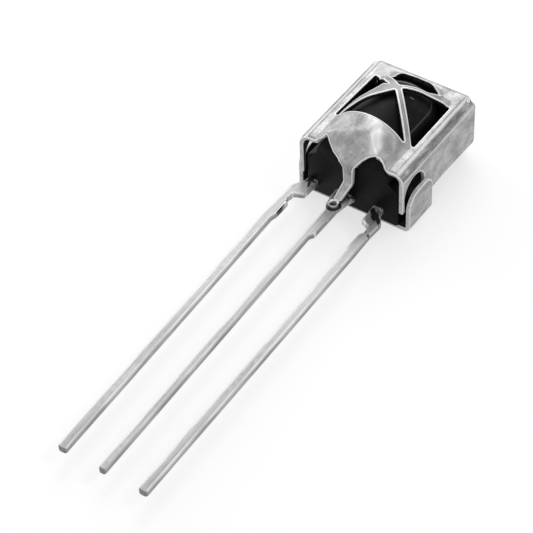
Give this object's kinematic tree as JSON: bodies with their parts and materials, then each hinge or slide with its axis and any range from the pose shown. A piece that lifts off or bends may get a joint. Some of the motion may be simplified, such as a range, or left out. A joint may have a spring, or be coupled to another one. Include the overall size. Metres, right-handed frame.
{
  "type": "infrared receiver module",
  "caption": "Infrared receiver module: black dome-lens body in a folded tinned-steel shield with a crossed grille, three long flat leads",
  "frame": {"origin": "middle of the shield's back panel line on the face it rests on, half way along the shield's length", "axes": "+Z the way the lens looks, -Y the way the leads run, +X across the three leads towards the supply lead"},
  "size_m": [0.008, 0.0335, 0.0063],
  "materials": {
    "shield_steel": "tin-plated sheet, satin to bright",
    "black_epoxy": "moulded, smooth, glossy lens",
    "tinned_lead": "tin-plated, satin",
    "silicon": "polished chip",
    "chip_glue": "silver-filled glue",
    "bond_wire": "fine drawn gold-coloured wire",
    "solder": "bright solder"
  },
  "bodies": {
    "root": {"shield": "shield_steel", "moulded_body": "black_epoxy", "output_lead": "tinned_lead", "ground_lead": "tinned_lead", "supply_lead": "tinned_lead", "photodiode_chip": "silicon", "amplifier_chip": "silicon", "photodiode_glue": "chip_glue", "amplifier_glue": "chip_glue", "diode_wire": "bond_wire", "output_wire": "bond_wire", "supply_wire": "bond_wire", "ground_wire": "bond_wire", "tongue_solder": "solder"}
  },
  "joints": []
}
